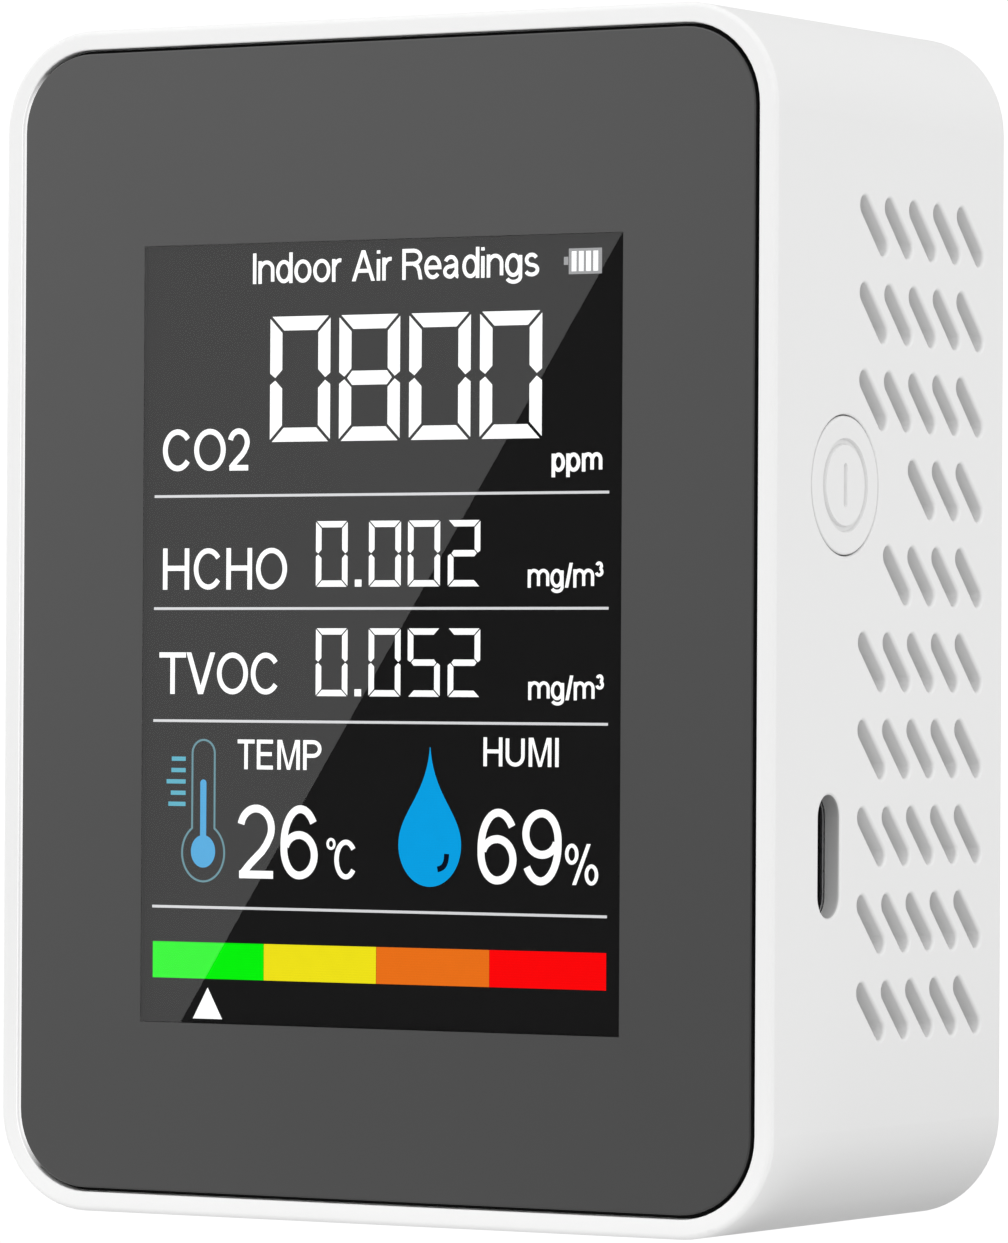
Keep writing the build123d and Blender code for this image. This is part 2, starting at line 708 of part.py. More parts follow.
# small capacitors, all the same size, beside the two chips
with BuildPart() as board_capacitors:
    with BuildSketch(rising(DECK_Y, CHIP_Z, CHIP_X)):
        with GridLocations(2.4, 2 * CHIP_W - 2.0, 5, 2):
            Rectangle(0.9, 1.6)
    extrude(amount=0.8)
    with BuildSketch(rising(DECK_Y, 30.0, 11.0)):
        with GridLocations(1, 2.4, 1, 3):
            Rectangle(1.6, 0.9)
    extrude(amount=0.8)

board_capacitors.part.label = "board_capacitors"


# ---------------------------------------------------------------- battery

CELL_X = -7.0
CELL_Z = 51.0
CELL_W = 34.0
CELL_H = 50.0
CELL_T = 5.2
CELL_TAPE_T = 0.2
CELL_BACK_Y = COVER_Y - CELL_TAPE_T
CELL_END = 3.0

with BuildPart() as battery_cell:
    with BuildSketch(facing(CELL_BACK_Y, CELL_Z + CELL_END / 2, CELL_X)):
        RectangleRounded(CELL_W, CELL_H - CELL_END, 1.6)
    extrude(amount=CELL_T)
    fillet(battery_cell.faces().sort_by(Axis.Y)[0].edges(), 1.2)
    fillet(battery_cell.faces().sort_by(Axis.Y)[-1].edges(), 0.8)
    # folded end that carries the protection circuit
    end_z = CELL_Z - CELL_H / 2 + CELL_END / 2
    with BuildSketch(facing(CELL_BACK_Y - 0.8, end_z + 1.0, CELL_X)):
        RectangleRounded(CELL_W - 3.0, CELL_END + 2.0, 0.4)
    extrude(amount=CELL_T - 1.6)

battery_cell.part.label = "battery_cell"

with BuildPart() as battery_tape:
    with BuildSketch(facing(COVER_Y, CELL_Z + 2.0, CELL_X)):
        RectangleRounded(CELL_W - 8.0, CELL_H - 12.0, 1.0)
    extrude(amount=CELL_TAPE_T)

battery_tape.part.label = "battery_tape"

# two-way connector: open box on the board, plug standing in it
PLUG_X = 2.0
PLUG_Z = 19.0
PLUG_W = 5.6
PLUG_H = 3.0
SOCKET_WALL = 0.8
PLUG_BASE_Y = DECK_Y + 1.2
PLUG_TOP_Y = DECK_Y + 7.5
LEAD_PITCH = 2.0
LEAD_R = 0.6

with BuildPart() as battery_socket:
    with BuildSketch(rising(DECK_Y, PLUG_Z, PLUG_X)):
        Rectangle(PLUG_W + 2 * SOCKET_WALL + 0.2, PLUG_H + 2 * SOCKET_WALL + 0.2)
    extrude(amount=6.0)
    with BuildSketch(rising(PLUG_BASE_Y, PLUG_Z, PLUG_X)):
        Rectangle(PLUG_W + 0.2, PLUG_H + 0.2)
    extrude(amount=6.0, mode=Mode.SUBTRACT)
    with BuildSketch(rising(PLUG_BASE_Y, PLUG_Z - PLUG_H / 2 - SOCKET_WALL / 2, PLUG_X)):
        Rectangle(3.0, 2 * SOCKET_WALL)
    extrude(amount=6.0, mode=Mode.SUBTRACT)

battery_socket.part.label = "battery_socket"

with BuildPart() as battery_plug:
    with BuildSketch(rising(PLUG_BASE_Y, PLUG_Z, PLUG_X)):
        RectangleRounded(PLUG_W, PLUG_H, 0.3)
    extrude(amount=PLUG_TOP_Y - PLUG_BASE_Y)
    with BuildSketch(rising(PLUG_TOP_Y - 1.5, PLUG_Z, PLUG_X)):
        with GridLocations(LEAD_PITCH, 1, 2, 1):
            Circle(LEAD_R + 0.05)
    extrude(amount=1.5, mode=Mode.SUBTRACT)

battery_plug.part.label = "battery_plug"

LEAD_START_Y = PLUG_TOP_Y - 1.5
LEAD_END_Y = CELL_BACK_Y - CELL_T / 2
LEAD_END_Z = CELL_Z - CELL_H / 2


def lead(x):
    """One insulated wire from the plug to the end of the cell, bent once."""
    with BuildPart() as wire:
        with BuildLine() as run:
            Spline(
                (x, LEAD_START_Y, PLUG_Z),
                (x, LEAD_END_Y, LEAD_END_Z),
                tangents=((0, 1, 0), (0, 0, 1)),
                tangent_scalars=(1.6, 0.8),
            )
        with BuildSketch(Plane(origin=run.line @ 0, z_dir=run.line % 0)):
            Circle(LEAD_R)
        sweep()
    return wire


battery_lead_red = lead(PLUG_X - LEAD_PITCH / 2)
battery_lead_red.part.label = "battery_lead_red"
battery_lead_black = lead(PLUG_X + LEAD_PITCH / 2)
battery_lead_black.part.label = "battery_lead_black"


# ---------------------------------------------------------------- dust filters

FILTER_T = 0.3
FILTER_MARGIN = 1.2
FILTER_LOW_Y = VENT_FIRST_Y - VENT_L / 2 - 0.2
FILTER_HIGH_Y = VENT_FIRST_Y + (VENT_COLUMNS - 1) * VENT_COLUMN_PITCH + VENT_L / 2
FILTER_LOW_Z = VENT_FIRST_Z - (VENT_ROWS - 1) * VENT_ROW_PITCH - VENT_L / 2 - FILTER_MARGIN
FILTER_HIGH_Z = VENT_FIRST_Z + VENT_L / 2 + FILTER_MARGIN
FILTER_Y = (FILTER_LOW_Y + FILTER_HIGH_Y) / 2
FILTER_Z = (FILTER_LOW_Z + FILTER_HIGH_Z) / 2

with BuildPart() as vent_filter_right:
    with BuildSketch(side(INNER_X - FILTER_T)):
        with Locations((FILTER_Y, FILTER_Z)):
            Rectangle(FILTER_HIGH_Y - FILTER_LOW_Y, FILTER_HIGH_Z - FILTER_LOW_Z)
        with Locations((BUTTON_Y, BUTTON_Z)):
            Circle(FLANGE_R + 0.5, mode=Mode.SUBTRACT)
    extrude(amount=FILTER_T)

vent_filter_right.part.label = "vent_filter_right"

with BuildPart() as vent_filter_left:
    with BuildSketch(side(-INNER_X)):
        with Locations((FILTER_Y, FILTER_Z)):
            Rectangle(FILTER_HIGH_Y - FILTER_LOW_Y, FILTER_HIGH_Z - FILTER_LOW_Z)
    extrude(amount=FILTER_T)

vent_filter_left.part.label = "vent_filter_left"


# ---------------------------------------------------------------- files

for piece in (
    front_shell,
    rear_cover,
    front_panel,
    display_window,
    panel_tape,
    lcd_glass,
    lcd_polariser,
    lcd_backlight,
    lcd_foam,
    lcd_ribbon,
    ribbon_socket,
    main_board,
    board_screws,
    case_screws,
    usb_shell,
    usb_tongue,
    power_button,
    switch_body,
    switch_plunger,
    co2_carrier,
    co2_case,
    co2_membrane,
    hcho_sensor,
    tvoc_sensor,
    climate_sensor,
    buzzer,
    control_chip,
    charger_chip,
    power_coil,
    board_capacitors,
    battery_cell,
    battery_tape,
    battery_socket,
    battery_plug,
    battery_lead_red,
    battery_lead_black,
    vent_filter_right,
    vent_filter_left,
):
    export_step(piece.part, f"parts/{piece.part.label}.step")
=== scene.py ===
import math

import bmesh
import bpy
from mathutils import Euler, Matrix, Vector


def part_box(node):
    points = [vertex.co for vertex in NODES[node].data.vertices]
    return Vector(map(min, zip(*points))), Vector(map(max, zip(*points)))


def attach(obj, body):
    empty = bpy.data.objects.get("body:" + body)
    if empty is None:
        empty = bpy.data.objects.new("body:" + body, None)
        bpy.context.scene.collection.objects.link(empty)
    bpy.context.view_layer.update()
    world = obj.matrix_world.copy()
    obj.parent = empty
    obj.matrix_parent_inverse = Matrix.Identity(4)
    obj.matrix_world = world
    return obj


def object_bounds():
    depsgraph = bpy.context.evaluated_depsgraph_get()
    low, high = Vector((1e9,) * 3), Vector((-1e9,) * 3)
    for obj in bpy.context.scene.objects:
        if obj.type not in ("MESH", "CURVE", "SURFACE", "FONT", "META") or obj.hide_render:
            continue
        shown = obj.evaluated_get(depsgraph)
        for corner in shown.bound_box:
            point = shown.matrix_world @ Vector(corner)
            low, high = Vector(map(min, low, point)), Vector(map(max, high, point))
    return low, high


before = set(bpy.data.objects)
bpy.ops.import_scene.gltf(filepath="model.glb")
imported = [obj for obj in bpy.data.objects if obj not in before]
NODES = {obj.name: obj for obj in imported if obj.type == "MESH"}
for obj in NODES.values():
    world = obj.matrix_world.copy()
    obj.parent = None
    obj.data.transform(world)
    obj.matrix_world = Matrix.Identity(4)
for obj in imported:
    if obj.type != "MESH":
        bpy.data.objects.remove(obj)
cad_low, cad_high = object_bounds()
MM = 0.001

# ------------------------------------------------------------------ node helpers


class Nodes:
    """The node tree of a new material or world, with short calls for making and wiring nodes."""

    def __init__(self, name, world=False):
        self.owner = (bpy.data.worlds if world else bpy.data.materials).new(name)
        self.owner.use_nodes = True
        self.tree = self.owner.node_tree
        self.tree.nodes.clear()
        kind = "ShaderNodeOutputWorld" if world else "ShaderNodeOutputMaterial"
        self.out = self.tree.nodes.new(kind)

    def new(self, kind, inputs=None, **settings):
        node = self.tree.nodes.new(kind)
        for key, value in settings.items():
            setattr(node, key, value)
        for key, value in (inputs or {}).items():
            self.put(node.inputs[key], value)
        return node

    def put(self, socket, value):
        """Links the socket to value if that is another socket, else sets it."""
        if isinstance(value, bpy.types.NodeSocket):
            self.tree.links.new(value, socket)
        else:
            socket.default_value = value

    def surface(self, shader):
        """Puts the shader on the output and returns the finished material or world."""
        self.tree.links.new(shader, self.out.inputs[0])
        return self.owner

    def principled(self, **inputs):
        named = {key.replace("_", " "): value for key, value in inputs.items()}
        return self.new("ShaderNodeBsdfPrincipled", named).outputs[0]

    # places and directions

    def place(self):
        return self.new("ShaderNodeTexCoord").outputs["Object"]

    def stretched(self, scale):
        return self.new("ShaderNodeMapping", {"Vector": self.place(), "Scale": scale}).outputs[0]

    def split(self, vector):
        return self.new("ShaderNodeSeparateXYZ", {"Vector": vector}).outputs[:3]

    def geometry(self, output):
        return self.new("ShaderNodeNewGeometry").outputs[output]

    def is_ray(self, kind):
        return self.new("ShaderNodeLightPath").outputs[f"Is {kind} Ray"]

    # numbers

    def math(self, operation, *values):
        node = self.new("ShaderNodeMath", operation=operation)
        for socket, value in zip(node.inputs, values):
            self.put(socket, value)
        return node.outputs[0]

    def product(self, first, *others):
        for value in others:
            first = self.math("MULTIPLY", first, value)
        return first

    def total(self, first, *others):
        for value in others:
            first = self.math("ADD", first, value)
        return first

    def within(self, value, low, high):
        """1 where value lies between low and high, else 0."""
        return self.product(
            self.math("GREATER_THAN", value, low), self.math("LESS_THAN", value, high))

    def ramp(self, value, start, end, low=0.0, high=1.0):
        """Straight blend from low at start to high at end, level outside them."""
        return self.new("ShaderNodeMapRange", {
            "Value": value, "From Min": start, "From Max": end, "To Min": low, "To Max": high,
        }).outputs[0]

    def wave(self, value, pitch):
        """Sine of value, one turn per pitch."""
        return self.math("SINE", self.math("MULTIPLY", value, 2 * math.pi / pitch))

    def choose(self, factor, a, b):
        """Number a where factor is 0, b where it is 1."""
        node = self.new("ShaderNodeMix", data_type="FLOAT")
        for socket, value in zip((node.inputs[0], node.inputs[2], node.inputs[3]), (factor, a, b)):
            self.put(socket, value)
        return node.outputs[0]

    # patterns, tones and relief

    def noise(self, scale, detail=2.0, rough=0.5, vector=None):
        vector = self.place() if vector is None else vector
        return self.new("ShaderNodeTexNoise", {
            "Vector": vector, "Scale": scale, "Detail": detail, "Roughness": rough,
        }).outputs["Fac"]

    def open_sky(self, distance):
        """1 on open faces, falling where something stands nearer than distance."""
        return self.new(
            "ShaderNodeAmbientOcclusion", {"Distance": distance}, samples=8).outputs["AO"]

    def mix(self, factor, a, b):
        """Colour a where factor is 0, b where it is 1."""
        node = self.new("ShaderNodeMix", data_type="RGBA")
        self.put(node.inputs[0], factor)
        self.put(node.inputs[6], rgba(a))
        self.put(node.inputs[7], rgba(b))
        return node.outputs[2]

    def bump(self, height, strength, distance):
        return self.new(
            "ShaderNodeBump", {"Height": height, "Strength": strength, "Distance": distance}
        ).outputs[0]


def rgba(colour):
    """Colour with alpha from a grey number or three channels; sockets pass through."""
    if isinstance(colour, bpy.types.NodeSocket):
        return colour
    if isinstance(colour, (int, float)):
        colour = (colour, colour, colour)
    return (*colour[:3], 1.0)


def shade(colour, factor):
    return tuple(min(1.0, channel * factor) for channel in colour)


# ------------------------------------------------------------------ general materials


def moulded(name, colour, rough=0.45, grain=3500.0, depth=0.02 * MM, vary=0.03, level=0.5):
    """Moulded plastic: fine spark-eroded grain, slight tone and gloss variation."""
    n = Nodes(name)
    return n.surface(n.principled(
        Base_Color=n.mix(n.noise(60.0), shade(colour, 1 - vary), shade(colour, 1 + vary)),
        Roughness=n.ramp(n.noise(400.0, 3.0), 0, 1, rough - 0.05, rough + 0.05),
        Specular_IOR_Level=level, Normal=n.bump(n.noise(grain, 3.0, 0.6), 0.35, depth),
    ))


def metal(name, colour, rough, stretch=(1.0, 1.0, 40.0)):
    """Rolled or drawn metal: fine streaks in tone, gloss and height."""
    n = Nodes(name)
    streak = n.noise(900.0, 3.0, vector=n.stretched(stretch))
    return n.surface(n.principled(
        Base_Color=n.mix(streak, shade(colour, 0.85), shade(colour, 1.1)), Metallic=1.0,
        Roughness=n.ramp(streak, 0, 1, rough - 0.08, rough + 0.1),
        Normal=n.bump(streak, 0.15, 0.01 * MM),
    ))


def woven(name, colour, pitch):
    """Thin non-woven or mesh sheet: crossing threads over a fibrous ground."""
    n = Nodes(name)
    y, z = n.split(n.place())[1:]
    threads = n.math("MAXIMUM", n.wave(y, pitch), n.wave(z, pitch))
    fibres = n.noise(2500.0, 4.0, 0.7)
    return n.surface(n.principled(
        Base_Color=n.mix(n.ramp(threads, 0, 1), shade(colour, 0.72), colour),
        Roughness=0.9, Specular_IOR_Level=0.1,
        Normal=n.bump(n.total(n.product(threads, 0.5), fibres), 0.6, 0.08 * MM),
    ))


# ------------------------------------------------------------------ materials of single parts

WHITE = (0.86, 0.86, 0.858)
PANEL = (0.060, 0.060, 0.060)

# Places on the object that some tones follow: the rim's front, the port, the panel's left edge
RIM_Y = cad_low.y
PORT_LOW, PORT_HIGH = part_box("usb_shell")
POCKET_LEFT_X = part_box("front_panel")[0].x


def port_shade(n, normal_x):
    """How far the walls of the port's slot are shaded: more towards their top."""
    x, y, z = n.split(n.geometry("Position"))
    at_floor, at_top = 0.30, 0.54
    edge = 0.4 * MM
    walls = n.product(
        n.math("GREATER_THAN", x, PORT_HIGH.x - 1.7 * MM),
        n.math("LESS_THAN", normal_x, 0.5),
        n.within(y, PORT_LOW.y - edge, PORT_HIGH.y + edge),
        n.within(z, PORT_LOW.z - edge, PORT_HIGH.z + edge),
    )
    return n.product(walls, n.ramp(z, PORT_LOW.z, PORT_HIGH.z, at_floor, at_top))


def pocket_painted_glow(n, normal_x):
    """Painted light: a glow put on the left wall of the panel's pocket, fading out round its
    corners.
    """
    x, y = n.split(n.geometry("Position"))[:2]
    at_rim, inside = 0.29, 0.92
    return n.product(
        n.ramp(x, POCKET_LEFT_X + 0.05 * MM, POCKET_LEFT_X + 1.65 * MM, 1.0, 0.0),
        n.math("GREATER_THAN", normal_x, 0.3),
        n.within(y, RIM_Y + 0.01 * MM, RIM_Y + 0.75 * MM),
        n.ramp(y, RIM_Y + 0.05 * MM, RIM_Y + 0.45 * MM, at_rim, inside),
    )


def shell_material(name, painted_recess_shade=0.92):
    """White satin plastic: very fine grain, faint flow mottle, painted shade in slots and seams.

    The second argument is the tone this painted shade leaves in the deepest places. The port's
    slot gets more painted shade still, and the left wall of the panel's pocket a painted glow.
    """
    n = Nodes(name)
    normal_x = n.split(n.geometry("Normal"))[0]
    tone = n.mix(n.noise(60.0), shade(WHITE, 0.994), shade(WHITE, 1.006))
    # painted shade: the white darkens where something stands near, in slots, seams and hollows
    tone = n.mix(n.open_sky(2.2 * MM), shade(WHITE, painted_recess_shade), tone)
    # painted shade: the walls of the port's slot darken towards black
    tone = n.mix(port_shade(n, normal_x), tone, 0.0)
    return n.surface(n.principled(
        Base_Color=tone, Roughness=n.ramp(n.noise(400.0, 3.0), 0, 1, 0.37, 0.47),
        Specular_IOR_Level=0.35, Normal=n.bump(n.noise(5200.0, 3.0, 0.6), 0.35, 0.012 * MM),
        # painted light: a glow on the left wall of the panel's pocket
        Emission_Color=rgba(1.0), Emission_Strength=pocket_painted_glow(n, normal_x),
    ))


def panel_material():
    """Dark satin panel with painted light, a little lighter upwards; its cut edges painted black as
    shade.
    """
    n = Nodes("panel_satin")
    facing = n.math("ABSOLUTE", n.split(n.geometry("Normal"))[1])
    # painted shade: the cut edges, seen in the gap round the panel, are made black
    edge = n.math("LESS_THAN", facing, 0.5)
    # painted light: lighter upwards, with a random mottle mixed in
    height = n.ramp(n.split(n.place())[2], cad_low.z, cad_high.z, -0.15, 0.85)
    blend = n.total(height, n.product(n.noise(45.0), 0.3))
    tone = n.mix(blend, shade(PANEL, 0.86), shade(PANEL, 1.14))
    return n.surface(n.principled(
        Base_Color=n.mix(edge, tone, 0.004), Specular_IOR_Level=0.85,
        Roughness=n.ramp(n.noise(700.0, 3.0), 0, 1, 0.28, 0.33),
        Normal=n.bump(n.noise(9000.0, 2.0), 0.2, 0.006 * MM),
    ))


def window_material():
    """Thin clear sheet: sees through, with the reflections of both its faces put on the front."""
    n = Nodes("window_clear")
    turned = n.math("LESS_THAN", n.split(n.geometry("Normal"))[1], -0.5)
    front = n.math("MAXIMUM", n.math("SUBTRACT", turned, n.geometry("Backfacing")), 0.0)
    faces = n.ramp(n.noise(25.0), 0, 1, 2.2, 2.3)
    fresnel = n.new("ShaderNodeFresnel", {"IOR": 1.45}).outputs[0]
    clear = n.new("ShaderNodeBsdfTransparent", {"Color": rgba((0.985, 0.99, 0.99))}).outputs[0]
    gloss = n.new("ShaderNodeBsdfGlossy", {"Roughness": 0.0}).outputs[0]
    share = n.product(fresnel, front, faces)
    return n.surface(n.new("ShaderNodeMixShader", {0: share, 1: clear, 2: gloss}).outputs[0])


PIXEL_PITCH = 0.18 * MM


def display_material():
    """Switched-on display ground: nearly black, faint backlight bleed and pixel rows."""
    n = Nodes("display_black")
    rows = n.ramp(n.wave(n.split(n.place())[2], PIXEL_PITCH), 0, 1, 0.94, 1.06)
    bleed = n.ramp(n.noise(40.0, 1.0), 0, 1, 0.75, 1.25)
    return n.surface(n.principled(
        Base_Color=rgba(0.004), Roughness=0.5, Specular_IOR_Level=0.1,
        Emission_Color=rgba((0.0010, 0.0007, 0.0008)), Emission_Strength=n.product(bleed, rows),
    ))


def lit(name, colour, strength=1.0):
    """Lit part of the display; pixel rows and grain give a slight ripple."""
    n = Nodes(name)
    rows = n.ramp(n.wave(n.split(n.place())[2], PIXEL_PITCH), 0, 1, 0.98, 1.02)
    grain = n.ramp(n.noise(900.0), 0, 1, 0.97, 1.03)
    return n.surface(n.new("ShaderNodeEmission", {
        "Color": rgba(colour), "Strength": n.product(grain, rows, strength),
    }).outputs[0])


def port_material():
    """Drawn steel of the charging port: bright at its lip, painted shade makes it dark inside the
    mouth.
    """
    n = Nodes("port_steel")
    streak = n.noise(900.0, 3.0, vector=n.stretched((30.0, 1.0, 1.0)))
    # painted shade: behind the lip the steel is made nearly black
    lip = n.ramp(n.split(n.place())[0], PORT_HIGH.x - 0.40 * MM, PORT_HIGH.x - 0.02 * MM)
    steel = n.mix(streak, (0.56, 0.56, 0.57), (0.73, 0.73, 0.74))
    return n.surface(n.principled(
        Base_Color=n.mix(lip, 0.012, steel), Metallic=1.0,
        Roughness=n.ramp(streak, 0, 1, 0.2, 0.36), Normal=n.bump(streak, 0.15, 0.01 * MM),
    ))


def board_material(name):
    """Green solder mask over faint copper tracks."""
    n = Nodes(name)
    upright = n.new("ShaderNodeMapping", {
        "Vector": n.place(), "Rotation": (math.pi / 2, 0, 0),
    }).outputs[0]
    tracks = n.new("ShaderNodeTexBrick", {
        "Vector": upright, "Scale": 420.0, "Mortar Size": 0.012,
    }).outputs["Fac"]
    return n.surface(n.principled(
        Base_Color=n.mix(tracks, (0.012, 0.16, 0.055), (0.03, 0.27, 0.10)),
        Roughness=n.ramp(n.noise(500.0), 0, 1, 0.25, 0.38),
        Coat_Weight=0.4, Normal=n.bump(tracks, 0.3, 0.03 * MM),
    ))


def foil_material():
    """Crinkled aluminium laminate of a pouch cell."""
    n = Nodes("cell_foil")
    crinkle = n.noise(260.0, 4.0, 0.65)
    return n.surface(n.principled(
        Base_Color=n.mix(crinkle, (0.55, 0.56, 0.58), (0.74, 0.75, 0.77)), Metallic=0.9,
        Roughness=n.ramp(crinkle, 0, 1, 0.3, 0.5), Normal=n.bump(crinkle, 0.5, 0.2 * MM),
    ))


def ribbon_material():
    """Amber film with copper tracks along it."""
    n = Nodes("ribbon_amber")
    track = n.math("GREATER_THAN", n.wave(n.split(n.place())[0], 0.6 * MM), 0.0)
    return n.surface(n.principled(
        Base_Color=n.mix(track, (0.42, 0.16, 0.02), (0.60, 0.28, 0.06)),
        Roughness=n.ramp(n.noise(600.0), 0, 1, 0.25, 0.4), Coat_Weight=0.5,
    ))


def dress(material, *names):
    """Gives CAD nodes a finished material in place of their plain one."""
    for name in names:
        mesh = NODES[name].data
        mesh.materials.clear()
        mesh.materials.append(material)


dress(shell_material("shell_white"), "front_shell")
dress(shell_material("cover_white"), "rear_cover")
# The button gets stronger painted shade in its groove and round its edge.
dress(shell_material("button_white", 0.76), "power_button")
dress(panel_material(), "front_panel")
dress(window_material(), "display_window")
dress(display_material(), "lcd_polariser")
dress(moulded("lcd_black", (0.008, 0.008, 0.010), rough=0.12, vary=0.2), "lcd_glass")
dress(moulded("tape_black", (0.012, 0.012, 0.012), rough=0.85, depth=0.1 * MM, level=0.2),
      "panel_tape")
dress(moulded("foam_grey", (0.10, 0.10, 0.105), rough=0.9, grain=1500, depth=0.2 * MM),
      "lcd_foam")
dress(metal("tray_steel", (0.62, 0.62, 0.63), 0.35), "lcd_backlight")
dress(port_material(), "usb_shell")
dress(metal("screw_steel", (0.58, 0.58, 0.60), 0.3, (1.0, 1.0, 1.0)), "case_screws", "board_screws")
dress(metal("sensor_metal", (0.72, 0.71, 0.67), 0.38), "co2_case", "tvoc_sensor")
dress(ribbon_material(), "lcd_ribbon")
dress(board_material("board_green"), "main_board", "co2_carrier")
dress(moulded("connector_black", (0.02, 0.02, 0.022), rough=0.4, vary=0.1),
      "usb_tongue", "buzzer")
dress(moulded("switch_black", (0.03, 0.03, 0.03), rough=0.5, vary=0.1), "switch_body")
dress(moulded("connector_white", (0.80, 0.77, 0.68), rough=0.5, vary=0.04),
      "ribbon_socket", "battery_socket", "battery_plug", "switch_plunger", "hcho_sensor")
dress(moulded("sensor_blue", (0.04, 0.16, 0.42), rough=0.45, vary=0.08), "climate_sensor")
dress(moulded("chip_black", (0.022, 0.022, 0.024), rough=0.6, vary=0.15),
      "control_chip", "charger_chip")
dress(moulded("coil_grey", (0.09, 0.09, 0.095), rough=0.55, vary=0.15), "power_coil")
dress(moulded("ceramic_tan", (0.52, 0.36, 0.20), rough=0.4, vary=0.12), "board_capacitors")
dress(moulded("lead_red", (0.55, 0.015, 0.012), rough=0.42, vary=0.06), "battery_lead_red")
dress(moulded("lead_black", (0.015, 0.015, 0.016), rough=0.42, vary=0.1), "battery_lead_black")
dress(moulded("tape_white", (0.82, 0.82, 0.78), rough=0.8, depth=0.06 * MM),
      "battery_tape")
dress(foil_material(), "battery_cell")
dress(woven("membrane_white", (0.85, 0.85, 0.82), 0.4 * MM), "co2_membrane")
dress(woven("filter_grey", (0.48, 0.48, 0.48), 0.7 * MM),
      "vent_filter_right", "vent_filter_left")


# ------------------------------------------------------------------ screen figures

# The figures are thin solids between the display and the window, laid out in mm from a point
# at the middle of the display: x to the right, z up.
display_low, display_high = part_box("lcd_polariser")
window_front, window_back = (corner.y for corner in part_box("display_window"))
MIDDLE = (display_low + display_high) / 2
MIDDLE.y = 0.0
ORIGIN = MIDDLE + Vector((-0.016, 0.0, 0.038)) * MM
FIGURE_BACK = display_low.y - 0.016 * MM
FIGURE_FRONT = window_back + 0.024 * MM
MARK_FRONT = window_back + 0.016 * MM


def prism(bm, outline, front_y=FIGURE_FRONT):
    """Adds a flat closed solid with the given outline."""
    front = [bm.verts.new((ORIGIN.x + x * MM, front_y, ORIGIN.z + z * MM)) for x, z in outline]
    back = [bm.verts.new((ORIGIN.x + x * MM, FIGURE_BACK, ORIGIN.z + z * MM)) for x, z in outline]
    bm.faces.new(front)
    bm.faces.new(back[::-1])
    for i in range(len(front)):
        j = (i + 1) % len(front)
        bm.faces.new((front[j], front[i], back[i], back[j]))


def bar(bm, x0, z0, x1, z1, front_y=FIGURE_FRONT):
    """Adds a flat upright block from (x0, z0) to (x1, z1)."""
    prism(bm, [(x0, z0), (x1, z0), (x1, z1), (x0, z1)], front_y)


def ribbon(bm, points, width, closed=False, level_end=False, front_y=FIGURE_FRONT):
    """Adds a flat solid stroke along points; level_end cuts its last end horizontally."""
    count = len(points)
    left, right = [], []
    for i, point in enumerate(points):
        here = Vector(point)
        before = Vector(points[(i - 1) % count]) if closed or i else None
        after = Vector(points[(i + 1) % count]) if closed or i < count - 1 else None
        into = (here - before).normalized() if before is not None else None
        out = (after - here).normalized() if after is not None else None
        into, out = into or out, out or into
        along = (into + out).normalized()
        normal = Vector((-along.y, along.x))
        reach = width / 2 / max(0.5, normal.dot(Vector((-out.y, out.x))))
        if level_end and i == count - 1:
            reach = width / 2 / abs(along.y)
            normal = Vector((-math.copysign(1, along.y), 0))
        left.append(here + normal * reach)
        right.append(here - normal * reach)
    rings = []
    for a, b in zip(left, right):
        rings.append([
            bm.verts.new((ORIGIN.x + p.x * MM, y, ORIGIN.z + p.y * MM))
            for p, y in ((a, front_y), (b, front_y), (b, FIGURE_BACK), (a, FIGURE_BACK))
        ])
    pairs = list(zip(rings, rings[1:])) + ([(rings[-1], rings[0])] if closed else [])
    for one, two in pairs:
        for k in range(4):
            bm.faces.new((one[k], one[(k + 1) % 4], two[(k + 1) % 4], two[k]))
    if not closed:
        bm.faces.new(rings[0][::-1])
        bm.faces.new(rings[-1])


def piece(name, build, material):
    """Makes one screen figure from a function that fills a bmesh, riding on the housing."""
    bm = bmesh.new()
    build(bm)
    bmesh.ops.recalc_face_normals(bm, faces=bm.faces)
    mesh = bpy.data.meshes.new(name)
    bm.to_mesh(mesh)
    bm.free()
    mesh.materials.append(material)
    made = bpy.data.objects.new(name, mesh)
    bpy.context.scene.collection.objects.link(made)
    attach(made, "housing")


def arc(cx, cz, rx, rz, start, end, steps):
    """Points of an elliptical arc about (cx, cz) from start to end, in degrees."""
    return [
        (cx + rx * math.cos(math.radians(start + (end - start) * i / steps)),
         cz + rz * math.sin(math.radians(start + (end - start) * i / steps)))
        for i in range(steps + 1)
    ]


def ring(cx, cz, rx, rz, steps):
    """Points of a whole ellipse, the first not repeated."""
    return arc(cx, cz, rx, rz, 0, 360, steps)[:-1]


